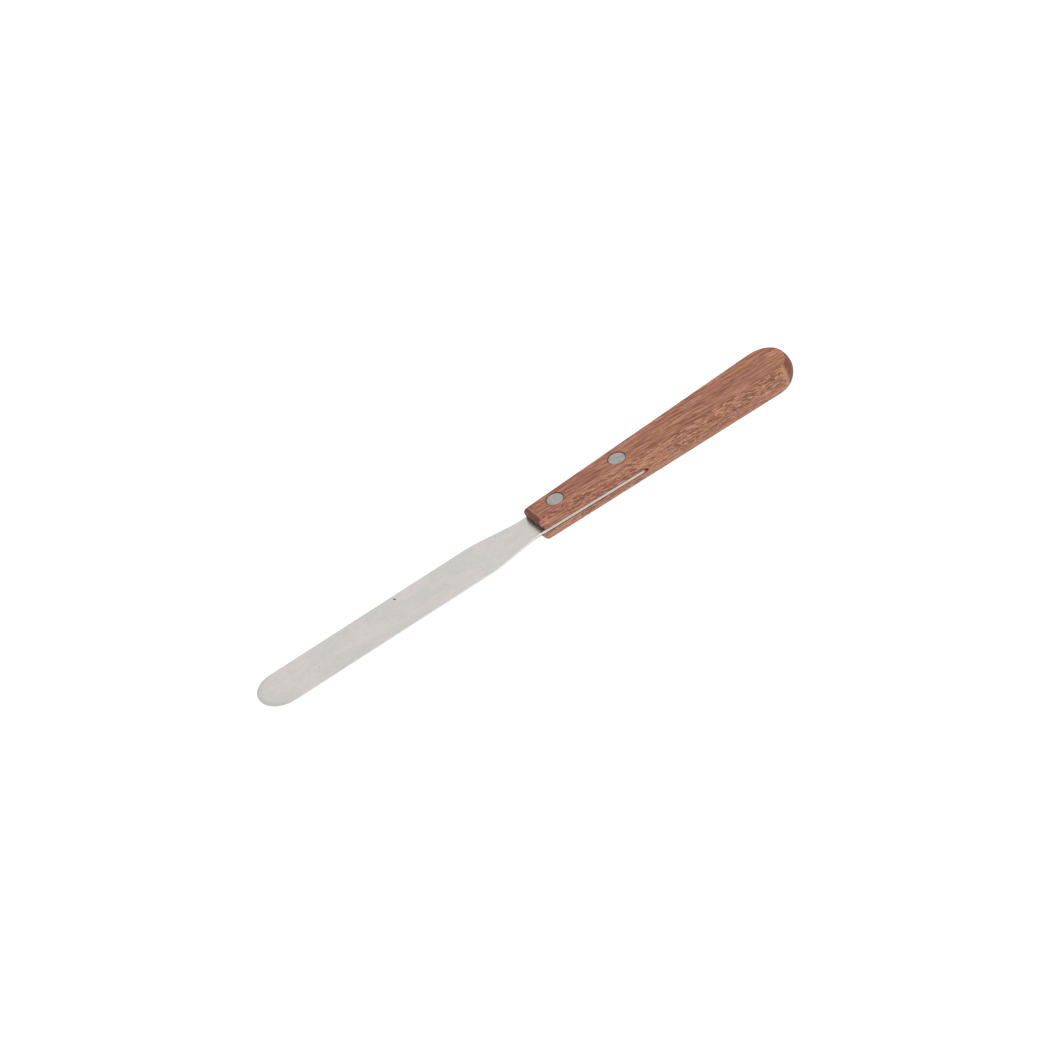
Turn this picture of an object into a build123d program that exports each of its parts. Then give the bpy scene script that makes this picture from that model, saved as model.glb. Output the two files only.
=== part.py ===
from build123d import *
from math import cos, radians, sin
import os

os.makedirs("parts", exist_ok=True)

# A palette knife lying flat. X runs along the knife, from the blade's tip (-X) to the butt (+X),
# Y across it and Z up. The origin is under the middle of its whole length, on the surface that
# the handle's flat underside rests on. All sizes are in millimetres.

# Blade, with the tang that runs on inside the handle.
BLADE_REACH = 101.6
BLADE_WIDTH = 16.0
NECK_WIDTH = 10.5
SHOULDER_LENGTH = 22.2
TANG_LENGTH = 37.9
TANG_CORNER_RADIUS = 1.0
TANG_THICKNESS = 1.05
SHOULDER_THICKNESS = 0.72
TIP_THICKNESS = 0.4

# The tang and its kerf run down a little towards the butt, so the blade's tip stands higher.
TANG_TILT = 0.85

# Handle, one piece of wood.
HANDLE_LENGTH = 99.0
HANDLE_THICKNESS = 9.2
FRONT_WIDTH = 10.6
BUTT_WIDTH = 16.7
BUTT_LENGTH = 9.8
BUTT_FULLNESS = 0.59
SIDE_BULGE = 1.5
CREASE_RADIUS = 0.5

# Front of the handle, sanded by hand: square above the kerf, and below it a rounded lip that
# reaches a little further forward.
FRONT_TOP_RADIUS = 1.3
LIP_REACH = 0.9
LIP_FULLNESS = 0.3
LIP_SETBACK = 1.9
LIP_ROUNDING = 1.5

# Saw kerf that the tang sits in, cut with a round saw.
KERF_HEIGHT = 1.3
KERF_DEPTH = 39.3
SAW_RADIUS = 50.0

# Two-piece cutlery rivets: a stud pressed into a socket from the other side.
RIVET_SETBACKS = {"front": 9.2, "rear": 32.95}
HEAD_RADIUS = 2.78
HEAD_THICKNESS = 1.2
HEAD_CROWN = 0.1
HEAD_EDGE_RADIUS = 0.2
HEAD_BELOW_FLAT = 0.1
SOCKET_TUBE_RADIUS = 1.6
STUD_SHANK_RADIUS = 1.05
SOCKET_TUBE_GAP = 0.2
SOCKET_BORE_FLOOR = 0.9
COUNTERBORE_CLEARANCE = 0.12
SHANK_CLEARANCE = 0.05

# Places worked out from the sizes.
tip_x = -(BLADE_REACH + HANDLE_LENGTH) / 2
front_x = tip_x + BLADE_REACH
butt_x = front_x + HANDLE_LENGTH
butt_start_x = butt_x - BUTT_LENGTH
middle_z = HANDLE_THICKNESS / 2
side_slope = (BUTT_WIDTH - FRONT_WIDTH) / 2 / (butt_start_x - front_x)
rivet_places = [(front_x + setback, 0) for setback in RIVET_SETBACKS.values()]
rivet_hole_radius = SOCKET_TUBE_RADIUS + SHANK_CLEARANCE
counterbore_depth = HEAD_BELOW_FLAT + HEAD_THICKNESS

# The blade's own planes start at the neck, in the middle of the handle's front face. Along the
# blade their x is 0 at the neck, negative on the blade and positive on the tang.
tilt = radians(TANG_TILT)
along_blade = (cos(tilt), 0, -sin(tilt))
blade_flat = Plane(origin=(front_x, 0, middle_z), x_dir=along_blade, z_dir=(sin(tilt), 0, cos(tilt)))
blade_side = Plane(origin=(front_x, 0, middle_z), x_dir=along_blade, z_dir=(0, -1, 0))


# ---------------------------------------------------------------- blade
tip_radius = BLADE_WIDTH / 2
tang_end_half_width = NECK_WIDTH / 2 + side_slope * TANG_LENGTH

with BuildPart() as blade:
    # Seen from above: round tip, parallel edges, S-shaped shoulders, neck and widening tang.
    with BuildSketch(blade_flat):
        with BuildLine():
            tip = CenterArc((tip_radius - BLADE_REACH, 0), tip_radius, 180, -90)
            edge = Line(tip @ 1, (-SHOULDER_LENGTH, tip_radius))
            shoulder = Bezier(
                edge @ 1,
                (-SHOULDER_LENGTH * 2 / 3, tip_radius),
                (-SHOULDER_LENGTH / 3, NECK_WIDTH / 2),
                (0, NECK_WIDTH / 2),
            )
            tang_side = Line(shoulder @ 1, (TANG_LENGTH, tang_end_half_width))
            Line(tang_side @ 1, (TANG_LENGTH, 0))
            mirror(about=Plane.XZ)
        make_face()
        fillet(vertices().group_by(Axis.X)[-1], TANG_CORNER_RADIUS)
    extrude(amount=BLADE_WIDTH, both=True)

    # Seen from the side: an even tang, a neck that thins quickly and a blade that thins slowly.
    with BuildSketch(blade_side):
        with BuildLine():
            Polyline(
                (TANG_LENGTH, TANG_THICKNESS / 2),
                (0, TANG_THICKNESS / 2),
                (-SHOULDER_LENGTH, SHOULDER_THICKNESS / 2),
                (-BLADE_REACH, TIP_THICKNESS / 2),
                (-BLADE_REACH, -TIP_THICKNESS / 2),
                (-SHOULDER_LENGTH, -SHOULDER_THICKNESS / 2),
                (0, -TANG_THICKNESS / 2),
                (TANG_LENGTH, -TANG_THICKNESS / 2),
                close=True,
            )
        make_face()
    extrude(amount=BLADE_WIDTH, both=True, mode=Mode.INTERSECT)

    # Rivet holes through the tang.
    with BuildSketch():
        with Locations(*rivet_places):
            Circle(rivet_hole_radius)
    extrude(amount=HANDLE_THICKNESS, mode=Mode.SUBTRACT)

blade.part.label = "blade"
export_step(blade.part, "parts/blade.step")


# ---------------------------------------------------------------- handle
spare = FRONT_WIDTH / 2
start_x = front_x - spare
kerf_setback = SAW_RADIUS - (SAW_RADIUS**2 - BUTT_WIDTH**2) ** 0.5

with BuildPart() as handle:
    # Three outlines, widest at the middle, so that the sides are barrelled all the way round
    # the butt. They start in front of the handle, and the front is shaped afterwards.
    for level, inset in ((0, SIDE_BULGE), (middle_z, 0), (HANDLE_THICKNESS, SIDE_BULGE)):
        start_half = FRONT_WIDTH / 2 - side_slope * spare - inset
        butt_half = BUTT_WIDTH / 2 - inset
        end_x = butt_x - inset
        reach = BUTT_FULLNESS * (end_x - butt_start_x)
        with BuildSketch(Plane.XY.offset(level)):
            with BuildLine():
                start = Line((start_x, 0), (start_x, start_half))
                side = Line(start @ 1, (butt_start_x, butt_half))
                Bezier(
                    side @ 1,
                    (butt_start_x + reach, butt_half + side_slope * reach),
                    (end_x, BUTT_FULLNESS * butt_half),
                    (end_x, 0),
                )
                mirror(about=Plane.XZ)
            make_face()
    loft()

    # The crease between the flats and the barrelled sides is lightly rounded.
    creases = faces().filter_by(Axis.Z).edges().filter_by(lambda e: e.center().X > start_x + spare)
    fillet(creases, CREASE_RADIUS)

    # The shape of the front, seen from the side.
    with BuildSketch(Plane.XZ):
        with BuildLine():
            top = Line((butt_x, HANDLE_THICKNESS), (front_x + FRONT_TOP_RADIUS, HANDLE_THICKNESS))
            corner = RadiusArc(top @ 1, (front_x, HANDLE_THICKNESS - FRONT_TOP_RADIUS), -FRONT_TOP_RADIUS)
            face = Line(corner @ 1, (front_x, middle_z))
            step = Line(face @ 1, (front_x - LIP_REACH, middle_z))
            lip = SagittaArc(step @ 1, (front_x + LIP_SETBACK, 0), -LIP_FULLNESS)
            Polyline(lip @ 1, (butt_x, 0), top @ 0)
        make_face()
        fillet(vertices().sort_by_distance((front_x + LIP_SETBACK, 0))[0], LIP_ROUNDING)
    extrude(amount=BUTT_WIDTH, both=True, mode=Mode.INTERSECT)

    # Saw kerf, open at the front and at both sides, with the round end that the saw leaves.
    with BuildSketch(blade_flat.offset(-KERF_HEIGHT / 2)):
        with BuildLine():
            left_wall = Line((-spare, BUTT_WIDTH), (KERF_DEPTH - kerf_setback, BUTT_WIDTH))
            right_wall = Line((KERF_DEPTH - kerf_setback, -BUTT_WIDTH), (-spare, -BUTT_WIDTH))
            ThreePointArc(left_wall @ 1, (KERF_DEPTH, 0), right_wall @ 0)
            Line(right_wall @ 1, left_wall @ 0)
        make_face()
    extrude(amount=KERF_HEIGHT, mode=Mode.SUBTRACT)

    # Rivet holes, counterbored from above and from below.
    with BuildSketch():
        with Locations(*rivet_places):
            Circle(rivet_hole_radius)
    extrude(amount=HANDLE_THICKNESS, mode=Mode.SUBTRACT)
    for flat, into_wood in ((Plane.XY, 1), (Plane.XY.offset(HANDLE_THICKNESS), -1)):
        with BuildSketch(flat):
            with Locations(*rivet_places):
                Circle(HEAD_RADIUS + COUNTERBORE_CLEARANCE)
        extrude(amount=into_wood * counterbore_depth, mode=Mode.SUBTRACT)

handle.part.label = "handle"
export_step(handle.part, "parts/handle.step")


# ---------------------------------------------------------------- rivets
crown_radius = (HEAD_RADIUS**2 + HEAD_CROWN**2) / (2 * HEAD_CROWN)
stud_rim_z = HANDLE_THICKNESS - HEAD_BELOW_FLAT
stud_seat_z = stud_rim_z - HEAD_THICKNESS
socket_rim_z = HEAD_BELOW_FLAT
socket_seat_z = socket_rim_z + HEAD_THICKNESS
bore_floor_z = socket_rim_z + SOCKET_BORE_FLOOR
tube_top_z = stud_seat_z - SOCKET_TUBE_GAP
shank_end_z = bore_floor_z + SOCKET_TUBE_GAP

for place, (rivet_x, rivet_y) in zip(RIVET_SETBACKS, rivet_places):
    section_plane = Plane(origin=(rivet_x, rivet_y, 0), x_dir=(1, 0, 0), z_dir=(0, -1, 0))
    rivet_axis = Axis((rivet_x, rivet_y, 0), (0, 0, 1))

    # Stud: a slightly crowned head and a solid shank.
    with BuildPart() as stud:
        with BuildSketch(section_plane):
            with BuildLine():
                crown = RadiusArc((0, stud_rim_z + HEAD_CROWN), (HEAD_RADIUS, stud_rim_z), crown_radius)
                Polyline(
                    crown @ 1,
                    (HEAD_RADIUS, stud_seat_z),
                    (STUD_SHANK_RADIUS, stud_seat_z),
                    (STUD_SHANK_RADIUS, shank_end_z),
                    (0, shank_end_z),
                    crown @ 0,
                )
            make_face()
        revolve(axis=rivet_axis)
        fillet(edges().filter_by(lambda e: e.is_closed).sort_by(Axis.Z)[-1], HEAD_EDGE_RADIUS)
    stud.part.label = f"{place}_rivet_stud"
    export_step(stud.part, f"parts/{place}_rivet_stud.step")

    # Socket: the same head below, with a tube that takes the shank.
    with BuildPart() as socket:
        with BuildSketch(section_plane):
            with BuildLine():
                crown = RadiusArc((0, socket_rim_z - HEAD_CROWN), (HEAD_RADIUS, socket_rim_z), -crown_radius)
                Polyline(
                    crown @ 1,
                    (HEAD_RADIUS, socket_seat_z),
                    (SOCKET_TUBE_RADIUS, socket_seat_z),
                    (SOCKET_TUBE_RADIUS, tube_top_z),
                    (STUD_SHANK_RADIUS, tube_top_z),
                    (STUD_SHANK_RADIUS, bore_floor_z),
                    (0, bore_floor_z),
                    crown @ 0,
                )
            make_face()
        revolve(axis=rivet_axis)
        fillet(edges().filter_by(lambda e: e.is_closed).sort_by(Axis.Z)[0], HEAD_EDGE_RADIUS)
    socket.part.label = f"{place}_rivet_socket"
    export_step(socket.part, f"parts/{place}_rivet_socket.step")
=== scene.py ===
"""A palette knife: its blade, its wooden handle and its rivets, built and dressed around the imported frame."""

import logging
from dataclasses import dataclass, field
from enum import Enum
from math import atan2, cos, pi, radians, sin, sqrt, tan
from typing import Callable, Iterable

import bmesh
import bpy
from mathutils import Matrix, Vector


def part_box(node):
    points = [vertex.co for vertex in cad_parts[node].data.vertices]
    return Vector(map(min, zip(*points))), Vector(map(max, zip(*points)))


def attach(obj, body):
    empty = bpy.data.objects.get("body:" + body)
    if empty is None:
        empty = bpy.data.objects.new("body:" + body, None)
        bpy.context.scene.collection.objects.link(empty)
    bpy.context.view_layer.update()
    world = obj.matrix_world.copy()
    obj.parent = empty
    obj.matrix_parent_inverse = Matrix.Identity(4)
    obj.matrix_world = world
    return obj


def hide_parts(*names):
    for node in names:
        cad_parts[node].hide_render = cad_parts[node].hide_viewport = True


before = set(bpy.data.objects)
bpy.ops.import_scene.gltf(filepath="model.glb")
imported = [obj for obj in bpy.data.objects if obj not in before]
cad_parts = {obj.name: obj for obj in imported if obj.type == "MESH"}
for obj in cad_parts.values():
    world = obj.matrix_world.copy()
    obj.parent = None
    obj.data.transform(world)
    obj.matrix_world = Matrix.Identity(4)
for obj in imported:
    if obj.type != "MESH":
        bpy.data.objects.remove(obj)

log = logging.getLogger("palette_knife")

Socket = bpy.types.NodeSocket
Triple = tuple[float, float, float]
Colour = tuple[float, float, float, float]
Value = Socket | float | Triple | Colour

MM = 0.001
WELD = 0.004 * MM
TANG_TILT = radians(0.85)
STUDS = ("front_rivet_stud", "rear_rivet_stud")


# ---------------------------------------------------------------- bench work


class Pick(Enum):
    """What an edit-mode selection is made of."""

    POINTS = "VERT"
    EDGES = "EDGE"
    FACES = "FACE"


def hold(piece: bpy.types.Object) -> bpy.types.Object:
    """Selects one object alone and makes it active.

    Args:
        piece: The object to work on.

    Returns:
        The same object.
    """
    if bpy.context.object is not None and bpy.context.object.mode != "OBJECT":
        bpy.ops.object.mode_set(mode="OBJECT")
    bpy.ops.object.select_all(action="DESELECT")
    piece.select_set(True)
    bpy.context.view_layer.objects.active = piece
    return piece


def fresh(name: str) -> bpy.types.Object:
    """Takes the primitive that was just added into hand under a plain name.

    Args:
        name: The name it gets.

    Returns:
        The object.
    """
    piece = bpy.context.active_object
    piece.name = name
    piece.data.name = name
    return hold(piece)


def open_up(piece: bpy.types.Object, pick: Pick) -> None:
    """Goes into edit mode on one object with nothing selected.

    Args:
        piece: The object.
        pick: What its selections are made of.
    """
    hold(piece)
    bpy.ops.object.mode_set(mode="EDIT")
    bpy.ops.mesh.select_mode(type=pick.value)
    bpy.ops.mesh.select_all(action="DESELECT")


def close_up() -> None:
    """Leaves edit mode."""
    bpy.ops.object.mode_set(mode="OBJECT")


def choose(piece: bpy.types.Object, pick: Pick, test: Callable[[Vector], bool]) -> None:
    """Selects the elements whose place passes a test, in edit mode.

    Args:
        piece: The object in edit mode.
        pick: What to select. An edge passes when both its ends do, a face when all its corners do.
        test: Says of a point, in metres, whether it belongs.
    """
    bpy.ops.mesh.select_mode(type=pick.value)
    bpy.ops.mesh.select_all(action="DESELECT")
    work = bmesh.from_edit_mesh(piece.data)
    if pick is Pick.POINTS:
        chosen = [point for point in work.verts if test(point.co)]
    elif pick is Pick.EDGES:
        chosen = [edge for edge in work.edges if all(test(point.co) for point in edge.verts)]
    else:
        chosen = [face for face in work.faces if all(test(point.co) for point in face.verts)]
    for element in chosen:
        element.select_set(True)
    work.select_flush_mode()
    bmesh.update_edit_mesh(piece.data)


def resize(factors: Triple, about: Iterable[float]) -> None:
    """Scales what is selected by its X, Y and Z factors about a point."""
    bpy.ops.transform.resize(value=factors, center_override=tuple(about))


def shift(by: Triple) -> None:
    """Moves what is selected by a distance in metres."""
    bpy.ops.transform.translate(value=by)


def turn_over(angle: float, axis: str, about: Iterable[float]) -> None:
    """Turns what is selected, by radians and right-handed, about an axis through a point."""
    bpy.ops.transform.rotate(value=-angle, orient_axis=axis, center_override=tuple(about))


def weld() -> None:
    """Merges coincident points and turns all faces outwards, in edit mode, and leaves all selected."""
    bpy.ops.mesh.select_all(action="SELECT")
    bpy.ops.mesh.remove_doubles(threshold=WELD)
    bpy.ops.mesh.normals_make_consistent(inside=False)


def settle(piece: bpy.types.Object) -> None:
    """Puts an object's place into its mesh, so that the object sits at the origin."""
    hold(piece)
    bpy.ops.object.transform_apply(location=True, rotation=True, scale=True)


def carve(piece: bpy.types.Object, tool: bpy.types.Object) -> None:
    """Takes a closed tool shape out of a piece and clears the tool away.

    Args:
        piece: The object that is cut.
        tool: The shape that cuts, which is used up.
    """
    settle(tool)
    hold(piece)
    boolean = piece.modifiers.new("carve", "BOOLEAN")
    boolean.operation = "DIFFERENCE"
    boolean.solver = "EXACT"
    boolean.object = tool
    bpy.ops.object.modifier_apply(modifier=boolean.name)
    bpy.data.objects.remove(tool, do_unlink=True)


def ease_edges(piece: bpy.types.Object, width: float, segments: int, sharper_than: float) -> None:
    """Rounds every edge of a piece that is sharper than an angle.

    Args:
        piece: The object.
        width: How far the rounding reaches from the edge.
        segments: Facets across the rounding.
        sharper_than: The smallest angle between faces that is rounded, in degrees.
    """
    hold(piece)
    bevel = piece.modifiers.new("ease", "BEVEL")
    bevel.width = width
    bevel.segments = segments
    bevel.limit_method = "ANGLE"
    bevel.angle_limit = radians(sharper_than)
    bevel.use_clamp_overlap = True
    bpy.ops.object.modifier_apply(modifier=bevel.name)


def smooth(piece: bpy.types.Object, up_to: float = 35.0) -> None:
    """Shades a piece smoothly, and keeps its large faces flat.

    Args:
        piece: The object.
        up_to: The largest angle between faces that is smoothed over, in degrees.
    """
    hold(piece)
    bpy.ops.object.shade_smooth_by_angle(angle=radians(up_to))
    weighted = piece.modifiers.new("flat_faces", "WEIGHTED_NORMAL")
    weighted.keep_sharp = True
    weighted.weight = 100
    bpy.ops.object.modifier_apply(modifier=weighted.name)


def middle_of(node: str) -> Vector:
    """The centre of a frame node's box."""
    low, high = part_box(node)
    return (Vector(low) + Vector(high)) / 2


# ---------------------------------------------------------------- shader bench


@dataclass(frozen=True)
class Pattern:
    """A noise: how it is stretched, moved and turned on a piece, and how fine and crumpled it is."""

    stretch: Triple = (1, 1, 1)
    scale: float = 1.0
    detail: float = 2.0
    rough: float = 0.5
    warp: float = 0.0
    moved: Triple = (0, 0, 0)
    turn: Triple = (0, 0, 0)


class Shader:
    """A material's node tree, with one short call for each kind of node."""

    def __init__(self, name: str) -> None:
        """Starts a material that has only a Principled shader at its output.

        Args:
            name: The material's name.
        """
        self.material = bpy.data.materials.new(name)
        self.material.use_nodes = True
        self.tree = self.material.node_tree
        self.tree.nodes.clear()
        output = self.tree.nodes.new("ShaderNodeOutputMaterial")
        self.surface = self.tree.nodes.new("ShaderNodeBsdfPrincipled")
        self.tree.links.new(self.surface.outputs["BSDF"], output.inputs["Surface"])
        self.place = self.tree.nodes.new("ShaderNodeTexCoord")

    def put(self, socket: Socket, value: Value) -> None:
        """Links a socket to another node's output, or sets it to a constant.

        Args:
            socket: The input.
            value: The output or the constant.
        """
        if isinstance(value, Socket):
            self.tree.links.new(value, socket)
        else:
            socket.default_value = value

    def set(self, name: str, value: Value) -> None:
        """Links or sets one input of the Principled shader."""
        self.put(self.surface.inputs[name], value)

    def sums(self, operation: str, *values: Value) -> Socket:
        """A Math node.

        Args:
            operation: Its operation.
            values: Its inputs in order, numbers or outputs.

        Returns:
            Its output.
        """
        node = self.tree.nodes.new("ShaderNodeMath")
        node.operation = operation
        for socket, value in zip(node.inputs, values):
            self.put(socket, value)
        return node.outputs[0]

    def ramp(
        self, value: Socket, low: float, high: float, to_low: float = 0.0, to_high: float = 1.0
    ) -> Socket:
        """A smooth Map Range node.

        Args:
            value: What is mapped.
            low: The value that gives to_low.
            high: The value that gives to_high.
            to_low: The result at low and beyond it.
            to_high: The result at high and beyond it.

        Returns:
            The mapped value.
        """
        node = self.tree.nodes.new("ShaderNodeMapRange")
        node.interpolation_type = "SMOOTHSTEP"
        for socket, entry in zip(node.inputs, (value, low, high, to_low, to_high)):
            self.put(socket, entry)
        return node.outputs[0]

    def mapped(
        self,
        stretch: Triple,
        moved: Triple = (0, 0, 0),
        turn: Triple = (0, 0, 0),
        source: Socket | None = None,
    ) -> Socket:
        """Coordinates from a Mapping node.

        Args:
            stretch: The scale along X, Y and Z.
            moved: The distance added last.
            turn: The angles about X, Y and Z, in radians.
            source: The coordinates that are mapped, or none for the piece's own Object coordinates.

        Returns:
            The mapped coordinates.
        """
        node = self.tree.nodes.new("ShaderNodeMapping")
        self.put(node.inputs["Vector"], source or self.place.outputs["Object"])
        node.inputs["Location"].default_value = moved
        node.inputs["Rotation"].default_value = turn
        node.inputs["Scale"].default_value = stretch
        return node.outputs[0]

    def noise(self, pattern: Pattern, source: Socket | None = None) -> Socket:
        """A Noise Texture.

        Args:
            pattern: The noise.
            source: The coordinates it lies on, or none for the piece's own Object coordinates.

        Returns:
            Its value, about 0.5 on average.
        """
        node = self.tree.nodes.new("ShaderNodeTexNoise")
        self.put(node.inputs["Vector"], self.mapped(pattern.stretch, pattern.moved, pattern.turn, source))
        node.inputs["Scale"].default_value = pattern.scale
        node.inputs["Detail"].default_value = pattern.detail
        node.inputs["Roughness"].default_value = pattern.rough
        node.inputs["Distortion"].default_value = pattern.warp
        return node.outputs["Fac"]

    def cells(self, vector: Socket, scale: float) -> Socket:
        """A Voronoi Texture.

        Args:
            vector: The coordinates it lies on.
            scale: Its cells in a metre.

        Returns:
            The distance to the nearest cell's centre.
        """
        node = self.tree.nodes.new("ShaderNodeTexVoronoi")
        self.put(node.inputs["Vector"], vector)
        node.inputs["Scale"].default_value = scale
        return node.outputs["Distance"]

    def length(self, vector: Socket) -> Socket:
        """A Vector Math node that measures.

        Args:
            vector: What is measured.

        Returns:
            Its length.
        """
        node = self.tree.nodes.new("ShaderNodeVectorMath")
        node.operation = "LENGTH"
        self.put(node.inputs[0], vector)
        return node.outputs["Value"]

    def shifted(self, vector: Socket, by: Socket) -> Socket:
        """A Vector Math node that adds one value to X, Y and Z.

        Args:
            vector: What it is added to.
            by: The value.

        Returns:
            The sum.
        """
        node = self.tree.nodes.new("ShaderNodeVectorMath")
        node.operation = "ADD"
        self.put(node.inputs[0], vector)
        self.put(node.inputs[1], by)
        return node.outputs["Vector"]

    def blend(self, amount: Value, first: Value, second: Value) -> Socket:
        """Mixes two colours.

        Args:
            amount: 0 for the first, 1 for the second.
            first: A colour or an output.
            second: A colour or an output.

        Returns:
            The mixed colour.
        """
        node = self.tree.nodes.new("ShaderNodeMix")
        node.data_type = "RGBA"
        for socket, value in zip((node.inputs[0], node.inputs[6], node.inputs[7]), (amount, first, second)):
            self.put(socket, value)
        return node.outputs[2]

    def split(self, vector: Socket) -> tuple[Socket, Socket, Socket]:
        """Takes a vector apart.

        Args:
            vector: The vector.

        Returns:
            Its X, Y and Z.
        """
        node = self.tree.nodes.new("ShaderNodeSeparateXYZ")
        self.put(node.inputs[0], vector)
        return tuple(node.outputs)

    def relief(self, height: Socket, depth: float, under: Socket | None = None) -> Socket:
        """A Bump node whose full height is a depth in metres.

        Args:
            height: The height, from 0 to 1.
            depth: What 1 stands for, in metres.
            under: A bump that this one adds to.

        Returns:
            The bumped normal.
        """
        node = self.tree.nodes.new("ShaderNodeBump")
        node.inputs["Strength"].default_value = 1.0
        node.inputs["Distance"].default_value = depth
        self.put(node.inputs["Height"], height)
        if under is not None:
            self.put(node.inputs["Normal"], under)
        return node.outputs[0]


def colour(red: int, green: int, blue: int) -> Colour:
    """Turns a display colour into the linear colour that a shader takes.

    Args:
        red: From 0 to 255.
        green: From 0 to 255.
        blue: From 0 to 255.

    Returns:
        The linear colour, with an opacity of 1.
    """

    def linear(value: float) -> float:
        """One channel, from display to linear."""
        return value / 12.92 if value <= 0.04045 else ((value + 0.055) / 1.055) ** 2.4

    return (linear(red / 255), linear(green / 255), linear(blue / 255), 1.0)


# ---------------------------------------------------------------- finishes


def above_tang(shader: Shader, here: tuple[Socket, Socket, Socket], neck: Vector) -> Socket:
    """How high a point is above the middle of the tang and its kerf, which run down towards the butt.

    Args:
        shader: The shader that asks.
        here: The point's X, Y and Z.
        neck: The middle of the handle's front face.

    Returns:
        The height in metres.
    """
    drop = shader.sums("MULTIPLY_ADD", here[0], tan(TANG_TILT), -neck.x * tan(TANG_TILT) - neck.z)
    return shader.sums("ADD", here[2], drop)


@dataclass(frozen=True)
class SatinSteel:
    """Spring steel, rolled and lightly ground, with the faint clouds that handling leaves."""

    name: str = "satin_steel"
    plain: Colour = colour(245, 240, 235)
    cool: Colour = colour(238, 236, 230)
    warm: Colour = colour(250, 241, 237)
    mottled: Colour = colour(214, 214, 206)
    lined: Colour = colour(200, 199, 196)
    bright: Colour = colour(255, 255, 253)
    pitted: Colour = colour(70, 62, 56)
    ground_edge: Colour = colour(236, 232, 227)
    cut_edge: Colour = colour(200, 184, 173)
    # Painted shade for the lower half of the blade's edges.
    painted_edge_shade: Colour = colour(136, 126, 118)
    rim: Colour = colour(214, 212, 208)
    tang_end: Colour = colour(168, 124, 116)
    roughness: float = 0.30
    clouds: Pattern = Pattern((0.6, 1, 1), scale=120, detail=4, rough=0.6, warp=0.3)
    patches: Pattern = Pattern((0.6, 1, 1), scale=150, detail=3, warp=0.4, moved=(0.3, 0.1, 0))
    mottle: Pattern = Pattern(scale=900, rough=0.6, moved=(0, 0.2, 0))
    lines: Pattern = Pattern((180, 5200, 1), rough=0.6)
    cross: Pattern = Pattern((7000, 220, 1), rough=0.6)
    flecks_in_a_metre: float = 460.0
    line_depth: float = 0.0008 * MM
    cross_depth: float = 0.0006 * MM
    pit_depth: float = 0.03 * MM
    pit_places: tuple[Triple, ...] = (
        (-47.45, 6.25, 0.34),
        (-47.3, 5.85, 0.2),
        (-79.5, -1.4, 0.12),
        (-21.0, -3.1, 0.10),
        (-63.0, 4.4, 0.09),
    )

    def pits(self, shader: Shader) -> Socket:
        """The few small pits that the rolling left. Each has its X, its Y and its radius, in millimetres.

        Args:
            shader: The shader that they belong to.

        Returns:
            1 in a pit, 0 elsewhere.
        """
        total = 0.0
        for along, across, radius in self.pit_places:
            flat = shader.mapped((1, 1, 0), (-along * MM, -across * MM, 0))
            pit = shader.ramp(shader.length(flat), radius * 0.5 * MM, radius * 1.4 * MM, 1.0, 0.0)
            total = shader.sums("ADD", total, pit)
        return total

    def sheet(self, shader: Shader, clouds: Socket, lines: Socket) -> Socket:
        """The colour of the rolled faces, with their clouds, patches, lines and flecks.

        Args:
            shader: The shader that it belongs to.
            clouds: The large soft clouds.
            lines: The grinding lines.

        Returns:
            The colour.
        """
        patches = shader.noise(self.patches)
        mottle = shader.noise(self.mottle)
        cell = shader.cells(shader.mapped((1, 1, 1)), self.flecks_in_a_metre)
        fleck = shader.ramp(cell, 0.03, 0.12, 1.0, 0.0)
        fleck = shader.sums("MULTIPLY", fleck, shader.ramp(patches, 0.50, 0.60))
        tone = shader.blend(shader.ramp(clouds, 0.40, 0.60), self.plain, self.cool)
        tone = shader.blend(shader.ramp(patches, 0.48, 0.62, 0.0, 0.8), tone, self.warm)
        tone = shader.blend(shader.ramp(mottle, 0.42, 0.62, 0.0, 0.16), tone, self.mottled)
        tone = shader.blend(shader.ramp(lines, 0.45, 0.75, 0.0, 0.08), tone, self.lined)
        return shader.blend(shader.sums("MULTIPLY", fleck, 0.9), tone, self.bright)

    def edges(self, shader: Shader, sheet: Socket) -> Socket:
        """The colour of the cut and ground edges, a painted shade on their lower half outside the handle, the
        tang's end and the rubbed tip, over the faces' colour.

        Args:
            shader: The shader that they belong to.
            sheet: The faces' colour.

        Returns:
            The colour.
        """
        neck = neck_place()
        here = shader.split(shader.place.outputs["Object"])
        along = here[0]
        facing = shader.split(shader.place.outputs["Normal"])
        edge_on = shader.ramp(shader.sums("ABSOLUTE", facing[1]), 0.6, 0.9)
        in_wood = shader.ramp(along, neck.x - 2 * MM, neck.x + 2 * MM)
        tone = shader.blend(edge_on, sheet, self.ground_edge)
        tone = shader.blend(shader.sums("MULTIPLY", edge_on, in_wood), tone, self.cut_edge)
        end = neck.x + Blade.tang_length
        tone = shader.blend(shader.ramp(along, end - 1.0 * MM, end - 0.7 * MM), tone, self.tang_end)
        # Painted shade: the lower half of the edges, outside the handle, is darkened.
        height = above_tang(shader, here, neck)
        low = shader.sums("MULTIPLY", shader.ramp(height, 0.03 * MM, -0.13 * MM), edge_on)
        free = shader.ramp(along, neck.x + 0.3 * MM, neck.x - 0.7 * MM)
        tone = shader.blend(shader.sums("MULTIPLY", low, free), tone, self.painted_edge_shade)
        tip_middle = neck.x - Blade.reach + Blade.width / 2
        around = shader.length(shader.mapped((1, 1, 0), (-tip_middle, 0, 0)))
        near_tip = shader.ramp(along, tip_middle + 1 * MM, tip_middle - 4 * MM, 0.0, 0.6)
        rubbed = shader.sums("MULTIPLY", shader.ramp(around, 5.8 * MM, 7.9 * MM), near_tip)
        return shader.blend(rubbed, tone, self.rim)

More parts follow.
